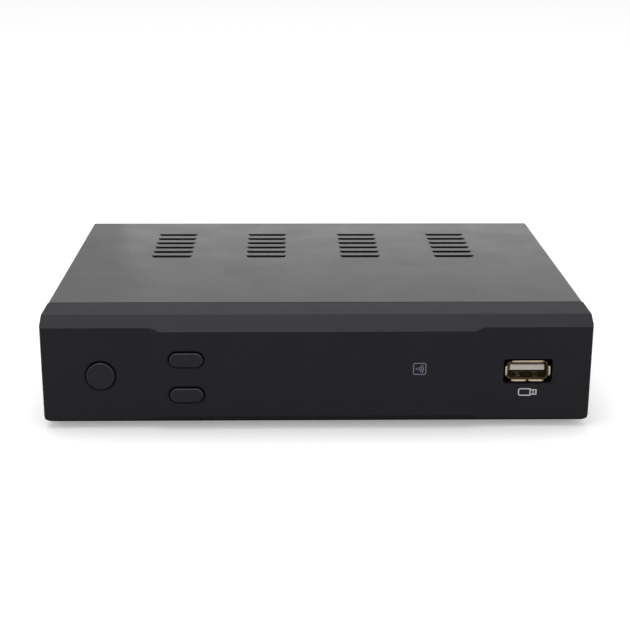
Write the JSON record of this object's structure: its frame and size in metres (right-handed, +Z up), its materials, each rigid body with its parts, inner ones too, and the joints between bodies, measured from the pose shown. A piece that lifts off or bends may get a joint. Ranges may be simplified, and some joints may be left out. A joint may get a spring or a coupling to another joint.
{
  "type": "satellite tv receiver",
  "caption": "Set-top satellite receiver: moulded front with keys and a USB socket on a louvred folded-steel case, aerial, video, audio and power sockets behind.",
  "frame": {"origin": "middle of the outer box at the underside of the rubber feet, on the surface that the receiver stands on", "axes": "+X to the right seen from the front, +Y from the front panel to the rear sockets, +Z up"},
  "size_m": [0.178, 0.1392, 0.037],
  "materials": {
    "panel_abs": "satin",
    "cover_paint": "satin powder coat",
    "tray_paint": "satin powder coat",
    "rubber": "matt",
    "black_screw": "blackened",
    "zinc_screw": "zinc plated",
    "key_abs": "satin",
    "socket_plastic": "moulded",
    "plunger_plastic": "moulded",
    "circuit_board": "solder mask",
    "gold_nickel": "plated",
    "nickel": "nickel plated",
    "white_insulator": "moulded",
    "contact_gold": "gold flash",
    "tinned_steel": "tinned",
    "yellow_insert": "moulded",
    "white_insert": "moulded",
    "red_insert": "moulded",
    "heatsink_aluminium": "extruded",
    "capacitor_sleeve": "shrink sleeve",
    "ferrite": "sintered",
    "ribbon_vinyl": "extruded"
  },
  "bodies": {
    "root": {"front_panel": "panel_abs", "top_cover": "cover_paint", "chassis_tray": "tray_paint", "rubber_feet": "rubber", "standoffs": "nickel", "cover_screws": "black_screw", "panel_screws": "zinc_screw", "front_board_screws": "zinc_screw", "main_board_screws": "zinc_screw", "power_switch": "socket_plastic", "channel_up_switch": "socket_plastic", "channel_down_switch": "socket_plastic", "front_board": "circuit_board", "display_module": "socket_plastic", "infrared_receiver": "socket_plastic", "usb_shell": "gold_nickel", "usb_tongue": "white_insulator", "usb_contacts": "contact_gold", "main_board": "circuit_board", "tuner_can": "tinned_steel", "aerial_input": "nickel", "aerial_loop_output": "nickel", "aerial_nuts": "nickel", "aerial_insulators": "white_insulator", "hdmi_shell": "nickel", "hdmi_tongue": "socket_plastic", "av_block": "socket_plastic", "av_shells": "nickel", "av_insert_yellow": "yellow_insert", "av_insert_white": "white_insert", "av_insert_red": "red_insert", "dc_inlet": "socket_plastic", "dc_inlet_pin": "nickel", "processor": "socket_plastic", "heatsink": "heatsink_aluminium", "memory_chip": "socket_plastic", "flash_chip": "socket_plastic", "capacitors": "capacitor_sleeve", "inductors": "ferrite", "crystal": "tinned_steel", "front_header": "white_insulator", "main_header": "white_insulator", "ribbon_cable": "ribbon_vinyl"},
    "power_key": {"power_key": "key_abs", "power_plunger": "plunger_plastic"},
    "channel_up_key": {"channel_up_key": "key_abs", "channel_up_plunger": "plunger_plastic"},
    "channel_down_key": {"channel_down_key": "key_abs", "channel_down_plunger": "plunger_plastic"}
  },
  "joints": [
    {"name": "power_press", "type": "slide", "parent": "root", "child": "power_key", "axis": [0, 1, 0], "range_m": [0, 0.0005], "stiffness_N_per_m": 400, "springref_m": -0.001},
    {"name": "channel_up_press", "type": "slide", "parent": "root", "child": "channel_up_key", "axis": [0, 1, 0], "range_m": [0, 0.0005], "stiffness_N_per_m": 400, "springref_m": -0.001},
    {"name": "channel_down_press", "type": "slide", "parent": "root", "child": "channel_down_key", "axis": [0, 1, 0], "range_m": [0, 0.0005], "stiffness_N_per_m": 400, "springref_m": -0.001}
  ]
}
